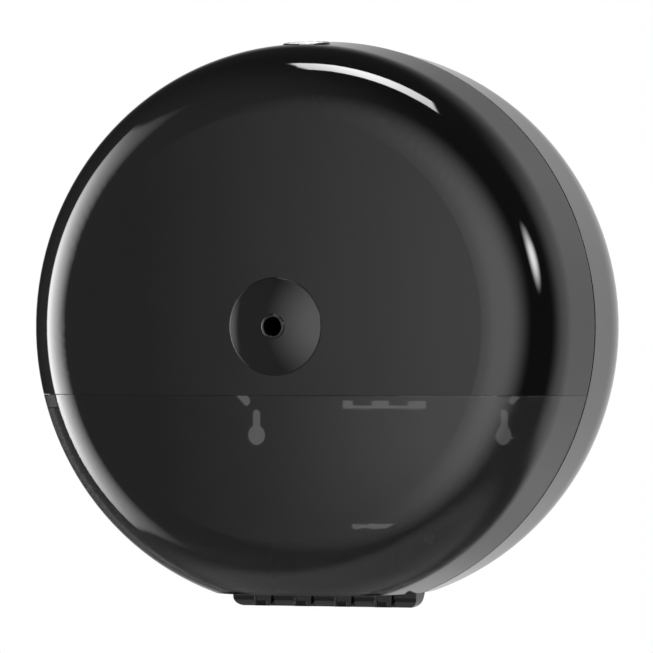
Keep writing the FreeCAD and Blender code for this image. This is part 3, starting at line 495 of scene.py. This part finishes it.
def turned_metal(name, low, high, gloss):
    """Turned bright metal with rings about the lock's axis."""
    material, tree, place, shader = principled(name)
    shader.inputs["Metallic"].default_value = TURNED_METAL
    from_axis = vector_node(tree, "SUBTRACT", place, LOCK_AXIS).outputs[0]
    flat = vector_node(tree, "MULTIPLY", from_axis, (1, 1, 0)).outputs[0]
    radius = vector_node(tree, "LENGTH", flat).outputs["Value"]
    rings = add(tree, "ShaderNodeTexNoise", Scale=1.0, Detail=FINE_DETAIL)
    rings.noise_dimensions = "1D"
    feed(tree, rings.inputs["W"], product(tree, radius, TURNED_RINGS))
    feed(tree, shader.inputs["Base Color"], mottled(tree, noise(tree, place, TURNED_SCALE), low, high))
    feed(tree, shader.inputs["Roughness"], spread(tree, rings.outputs[0], *gloss))
    feed(tree, shader.inputs["Normal"], relief(tree, rings.outputs[0], TURNED_DEPTH, TURNED_EDGE))
    return material


# Coil springs

def coil_height(turn, low, high):
    """Height of the wire's middle after so many turns; the end coils are closed."""
    closed_length = CLOSED_PITCH * CLOSED_TURNS * 2
    open_pitch = (high - low - SPRING_WIRE - closed_length) / (SPRING_TURNS - CLOSED_TURNS * 2)
    first = min(turn, CLOSED_TURNS)
    last = max(turn - (SPRING_TURNS - CLOSED_TURNS), 0)
    return low + SPRING_WIRE / 2 + (first + last) * CLOSED_PITCH + (turn - first - last) * open_pitch


def add_coil(mesh, middle, radius, low, high):
    """Round wire wound about a vertical axis, with flat ends."""
    count = SPRING_TURNS * SPRING_STEPS
    rings = []
    for step in range(count + 1):
        turn = step / SPRING_STEPS
        angle = turn * 2 * math.pi
        outward = Vector((math.cos(angle), math.sin(angle), 0))
        spot = Vector((middle.x, middle.y, coil_height(turn, low, high))) + outward * radius
        ring = []
        for side in range(WIRE_SIDES):
            turn_angle = side * 2 * math.pi / WIRE_SIDES
            offset = outward * math.cos(turn_angle) + Vector((0, 0, math.sin(turn_angle)))
            ring.append(mesh.verts.new(spot + offset * (SPRING_WIRE / 2)))
        rings.append(ring)
    for before, after in zip(rings, rings[1:]):
        for side in range(WIRE_SIDES):
            nearby = (side + 1) % WIRE_SIDES
            mesh.faces.new((before[side], before[nearby], after[nearby], after[side]))
    mesh.faces.new(rings[0][::-1])
    mesh.faces.new(rings[-1])


def make_springs(node, sides, material):
    """Coil springs in place of the plain sleeves that stand for them, each as long as its sleeve, with closed end
    coils.
    """
    low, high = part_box(node)
    outer = (high.y - low.y) / 2
    mesh = bmesh.new()
    for side in sides:
        middle = Vector(((high.x - outer) * side, (low.y + high.y) / 2, 0))
        add_coil(mesh, middle, outer - SPRING_WIRE / 2, low.z, high.z)
    bmesh.ops.recalc_face_normals(mesh, faces=mesh.faces)
    data = bpy.data.meshes.new(f"{node}_coils")
    mesh.to_mesh(data)
    mesh.free()
    data.shade_smooth()
    data.materials.append(material)
    coils = bpy.data.objects.new(f"{node}_coils", data)
    bpy.context.scene.collection.objects.link(coils)
    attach(coils, "cover")
    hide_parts(node)
    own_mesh(coils)


make_camera()
make_world()
make_dome()
make_floor()
make_lamp("left_lamp", azimuth=-65, elevation=10, distance=2.0, size=1.0, power=40)
make_lamp("front_lamp", azimuth=15, elevation=25, distance=2.4, size=1.2, power=45)
make_lamp("top_lamp", azimuth=170, elevation=80, distance=1.8, size=0.8, power=25)

# One material for each of the record's slots
MATERIALS = {
    "gloss_black": polished("gloss_black", tone=0.0022, gloss=(0.03, 0.05), wave=0.00002),
    "smoke": smoked("smoke", gloss=(0.015, 0.04), wave=0.00002),
    "housing_black": polished("housing_black", tone=0.0024, gloss=(0.04, 0.07), wave=0.00003),
    "nozzle_black": polished("nozzle_black", tone=0.0016, gloss=(0.04, 0.07), wave=0.00001),
    "ring_black": polished("ring_black", tone=0.0025, gloss=(0.04, 0.07), wave=0.00001),
    "inner_grey": grained(
        "inner_grey", low=(0.026, 0.026, 0.027), high=(0.034, 0.034, 0.036),
        gloss=(0.36, 0.5), grain=900.0, depth=0.00003,
    ),
    "inner_white": grained(
        "inner_white", low=(0.68, 0.68, 0.66), high=(0.74, 0.74, 0.72),
        gloss=(0.3, 0.42), grain=700.0, depth=0.00002,
    ),
    "steel": plated("steel", low=(0.5, 0.51, 0.53), high=(0.62, 0.62, 0.63), gloss=(0.24, 0.38)),
    "lock_silver": turned_metal(
        "lock_silver", low=(0.82, 0.82, 0.83), high=(0.9, 0.9, 0.9), gloss=(0.16, 0.28),
    ),
}
for row in frame["record"]["subparts"]:
    mesh = nodes_of[row["node"]].data
    mesh.materials.clear()
    mesh.materials.append(MATERIALS[row["material_slot"]])

make_springs("button_springs", (1, -1), MATERIALS["steel"])
make_springs("latch_spring", (0,), MATERIALS["steel"])

scene = bpy.context.scene
scene.view_settings.view_transform = "Standard"
